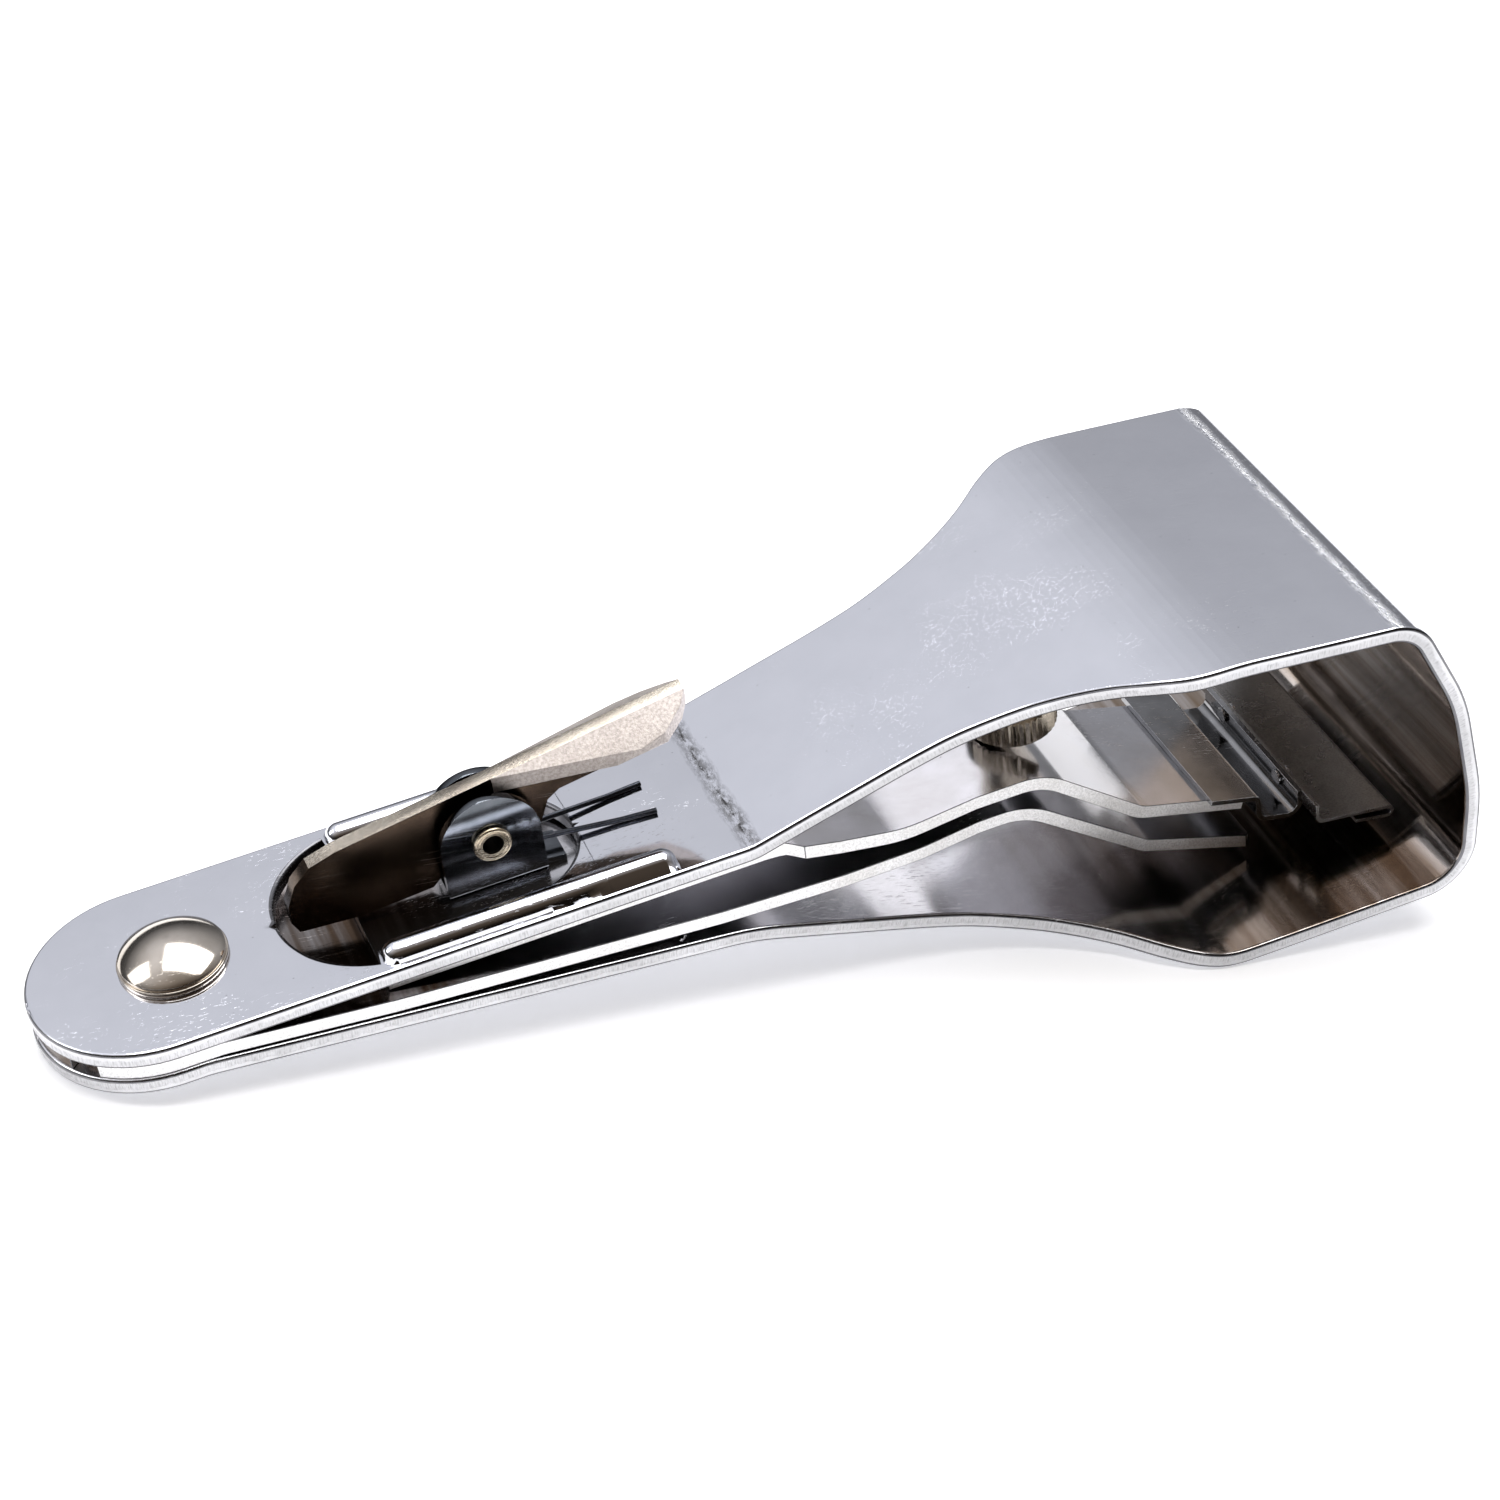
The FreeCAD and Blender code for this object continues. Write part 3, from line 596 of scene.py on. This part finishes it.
def settled(raw, name):
    """The raw object with its modifiers applied, as a new object."""
    mesh = bpy.data.meshes.new_from_object(raw.evaluated_get(bpy.context.evaluated_depsgraph_get()))
    bpy.data.objects.remove(raw)
    return placed(name, mesh)


# ---------------------------------------------------------------- where the outer strip has its stations
def on_arc(centre, radius, angles):
    """X of points on a round end that bulges along +X, or along -X where the radius is negative."""
    return [centre + radius * math.sin(math.radians(angle)) for angle in angles]


def lengths_of(xs, forward):
    return [length_at(samples, x, forward) for x in xs]


samples = filleted(PATH, BENDS, PATH_STEP)
total = samples[-1][0]
split = length_at(samples, SPLIT_X, True)

# The opening's rounded rim starts a little before the opening itself
slot_start = SLOT_X - SLOT_R - 2.4 * EDGE_R
slot_stop = SLOT_END + SLOT_HALF + 2.4 * EDGE_R
slot_straight = SLOT_STEP + 0.12
arm_x = [TIP_R * (1.0 - math.cos(math.radians(a))) for a in [1.5] + list(range(5, 91, 5))]
slot_x = [slot_start] + [SLOT_X - SLOT_R * math.cos(math.radians(a)) for a in range(2, 74, 4)]
slot_x += [SLOT_STEP - 0.02, slot_straight]
slot_x += on_arc(SLOT_END, SLOT_HALF, list(range(0, 85, 5)) + [84, 87, 89]) + [slot_stop]
bead_x = on_arc(BEAD_X0, -BEAD_R, range(0, 91, 15)) + on_arc(BEAD_X1, BEAD_R, range(0, 91, 15))
crease_x = [CREASE_X + 0.25 * i for i in range(-8, 9)]
flare_x = [80.0 + 0.8 * i for i in range(36)]
round_ends = ((slot_start, slot_straight), (SLOT_END, slot_stop))

plain = [sample[0] for sample in samples]
upper_lengths = [split] + lengths_of(arm_x + slot_x + bead_x + crease_x + flare_x, True)
upper_lengths += [v for v in plain if arm_x[-1] < v < split and not any(a < v < b for a, b in round_ends)]
lower_lengths = [split] + lengths_of(arm_x + bead_x + flare_x, False)
lower_lengths += [v for v in plain if split < v < total - TIP_R]

strip_metals = (chrome_outer, chrome_inner, cut_edge, lip_painted_dark)
upper_beads = (bead(BEAD_R, 0.0), bead(0.75, -0.05))
lower_beads = (bead(BEAD_R, 0.75), bead(0.85, 0.1))
upper_strip = strip_object("outer_strip_upper", strip_stations(samples, upper_lengths, upper_beads, True),
                           strip_metals)
lower_strip = strip_object("outer_strip_lower", strip_stations(samples, lower_lengths, lower_beads, False),
                           strip_metals)
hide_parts("slotted_arm", "upper_grip_plate")
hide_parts("lower_arm", "lower_grip_plate", "end_bend")
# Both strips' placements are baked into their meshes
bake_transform(upper_strip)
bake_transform(lower_strip)


# ---------------------------------------------------------------- small pieces, with broken edges
SHARP_ANGLE = math.radians(32.0)
# The lever's folded tab: where it starts, how far it is from the middle, and the line along its underside
TAB_X = 44.0
TAB_Y = 0.8
TAB_LOW = (43.5, 5.3)
TAB_SLOPE = 0.155


def refined(node, body, materials, bevel, choose=None, rim=-1):
    """A copy of a CAD node with rounded edges and its own materials, which stands for the node.

    The bevel is in millimetres, choose gives each face its material, and rim is the material of the bevel.
    """
    mesh = frame["nodes"][node].data.copy()
    mesh.materials.clear()
    for material in materials:
        mesh.materials.append(material)
    bm = bmesh.new()
    bm.from_mesh(mesh)
    bmesh.ops.remove_doubles(bm, verts=bm.verts, dist=1e-6)
    bmesh.ops.dissolve_limit(bm, angle_limit=math.radians(0.6), verts=bm.verts, edges=bm.edges)
    bmesh.ops.recalc_face_normals(bm, faces=bm.faces)
    for face in bm.faces:
        face.smooth = True
        face.material_index = choose(face) if choose else 0
    bm.to_mesh(mesh)
    bm.free()
    raw = placed(node + "_raw", mesh)
    bevelling = raw.modifiers.new("edges", "BEVEL")
    bevelling.width = bevel * MM
    bevelling.segments = 2
    bevelling.limit_method = "ANGLE"
    bevelling.angle_limit = SHARP_ANGLE
    bevelling.use_clamp_overlap = True
    bevelling.material = rim
    raw.modifiers.new("normals", "WEIGHTED_NORMAL").keep_sharp = True
    obj = settled(raw, node + "_finished")
    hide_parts(node)
    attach(obj, body)


def leaf_faces(face):
    """The cut edges of a leaf face sideways."""
    return 1 if abs(face.normal.y) > 0.7 else 0


def bore_faces(face):
    """The bore of the tubular rivet is darker than its rim."""
    pivot = Vector(joints["lever_press"]["pos_m"])
    centre = face.calc_center_median() - pivot
    facing_axis = Vector((centre.x, 0.0, centre.z)).dot(face.normal) < 0.0
    return 1 if facing_axis and abs(face.normal.y) < 0.5 else 0


def lever_faces(face):
    """The lever's tab is grainy, its upper edge is bright and its sides are smooth, with a painted dark brown
    reflection.
    """
    x, y, z = local(face.calc_center_median())
    tab_z = TAB_LOW[1] + TAB_SLOPE * (x - TAB_LOW[0])
    if x > TAB_X and z > tab_z and abs(y) > TAB_Y:
        return 1
    if face.normal.dot(AXIS_Z) > 0.8 and abs(face.normal.y) < 0.3:
        return 2
    return 0


leaf_metals = (chrome_leaf, leaf_edge, lip_painted_dark)
refined("lower_leaf", "strip_base", leaf_metals, 0.16, leaf_faces, 2)
refined("upper_leaf", "upper_leaf_set", leaf_metals, 0.16, leaf_faces, 2)
refined("tip_rivet", "strip_base", (rivet_metal,), 0.06)
refined("rivet_washer", "strip_base", (rivet_metal,), 0.10)
refined("yoke", "upper_leaf_set", (yoke_metal, highlight_rim), 0.13, None, 1)
refined("yoke_rivet", "upper_leaf_set", (yoke_metal,), 0.06)
refined("pivot_rivet", "upper_leaf_set", (tube_metal, bore_metal), 0.04, bore_faces)
refined("lever", "lever_arm", (lever_side_dark_reflection, lever_grain, lever_top), 0.14, lever_faces)
refined("screw_bush", "upper_grip", (screw_metal,), 0.10)
refined("threaded_stud", "screw_head", (screw_metal,), 0.10)
refined("knurled_head", "screw_head", (screw_metal,), 0.05)
refined("tip_clip", "upper_leaf_set", (clip_metal, highlight_rim), 0.10, None, 1)
refined("cross_strip", "upper_leaf_set", (dull_steel, highlight_rim), 0.06, None, 1)
refined("clip_rivets", "upper_leaf_set", (clip_metal,), 0.06)
for name in ("near_lever_spring", "far_lever_spring"):
    spring = frame["nodes"][name]
    spring.data.materials.clear()
    spring.data.materials.append(wire_metal)


# ---------------------------------------------------------------- floor, sky, light and camera
FLOOR_HALF = 8.0
FLOOR_GAP = 0.0001
WHITE = (1.0, 1.0, 1.0, 1.0)
# Brightness by height, grey light added towards +X, and tint from the camera's side (0) to the back (1)
SKY_RISE = ((0.0, 0.04), (0.20, 0.10), (0.42, 0.36), (0.60, 0.70), (0.80, 0.95), (1.0, 1.0))
SKY_SIDE = ((0.30, 0.0), (0.70, 0.20))
SKY_BACK = ((0.16, (0.10, 0.075, 0.055)), (0.34, (0.40, 0.365, 0.34)), (0.64, (0.97, 0.98, 1.04)))
SENSOR = 36.0
FOCAL_LENGTH = 79.2216
CAMERA_RIGHT = Vector((0.92520, -0.37222, 0.07382)).normalized()
CAMERA_BACK = Vector((-0.34568, -0.74646, 0.56859)).normalized()
CAMERA_PLACE = Vector((-0.10347, -0.22297, 0.18893))


def make_floor():
    h = FLOOR_HALF
    mesh = bpy.data.meshes.new("floor")
    mesh.from_pydata([(-h, -h, 0), (h, -h, 0), (h, h, 0), (-h, h, 0)], [], [(0, 1, 2, 3)])
    paper = bpy.data.materials.new("pale_floor")
    paper.use_nodes = True
    shader = paper.node_tree.nodes["Principled BSDF"]
    shader.inputs["Base Color"].default_value = (0.93, 0.93, 0.94, 1.0)
    shader.inputs["Roughness"].default_value = 0.9
    shader.inputs["Emission Color"].default_value = WHITE
    shader.inputs["Emission Strength"].default_value = 0.35
    mesh.materials.append(paper)
    floor = placed("floor", mesh)
    floor.location.z = cad_box[0][2] - FLOOR_GAP
    return floor


def make_sky():
    """Bright above and behind, grey to the right, and dark and warm on the camera's side and low down."""
    world = bpy.data.worlds.new("studio")
    bpy.context.scene.world = world
    world.use_nodes = True
    sky = world.node_tree
    sky.nodes.clear()
    axes = parts_of(sky, add(sky, "ShaderNodeTexCoord").outputs["Generated"])
    left = minus(sky, 0.94, times(sky, axes["X"], 0.6))
    level = plus(sky, times(sky, ramp(sky, axes["Z"], SKY_RISE), left), ramp(sky, axes["X"], SKY_SIDE))
    tint = ramp(sky, plus(sky, times(sky, axes["Y"], 0.5), 0.5), SKY_BACK)
    tinted = add(sky, "ShaderNodeMix", {0: 1.0, 6: level, 7: tint}, data_type="RGBA", blend_type="MULTIPLY")
    glow = add(sky, "ShaderNodeBackground", {"Color": tinted.outputs[2], "Strength": 1.0})
    add(sky, "ShaderNodeOutputWorld", {"Surface": glow.outputs["Background"]})


def softbox(name, place, size, power):
    """An area light that faces the middle of the object."""
    light = bpy.data.lights.new(name, "AREA")
    light.shape = "RECTANGLE"
    light.size, light.size_y = size
    light.energy = power
    lamp = placed(name, light)
    lamp.location = place
    lamp.rotation_euler = (-Vector(place)).to_track_quat("-Z", "Y").to_euler()


def make_camera():
    data = bpy.data.cameras.new("camera")
    data.sensor_width = SENSOR
    data.lens = FOCAL_LENGTH
    data.clip_start = 0.01
    camera = placed("camera", data)
    axes = (CAMERA_RIGHT, CAMERA_BACK.cross(CAMERA_RIGHT).normalized(), CAMERA_BACK, CAMERA_PLACE)
    rows = [[axis[i] for axis in axes] for i in range(3)]
    camera.matrix_world = Matrix((*rows, (0.0, 0.0, 0.0, 1.0)))
    bpy.context.scene.camera = camera
    bpy.context.scene.view_settings.view_transform = "Standard"


floor = make_floor()
make_sky()
softbox("overhead_softbox", (0.05, 0.10, 0.85), (0.9, 0.7), 9.0)
softbox("left_softbox", (-0.75, 0.25, 0.45), (0.35, 0.5), 1.5)
make_camera()
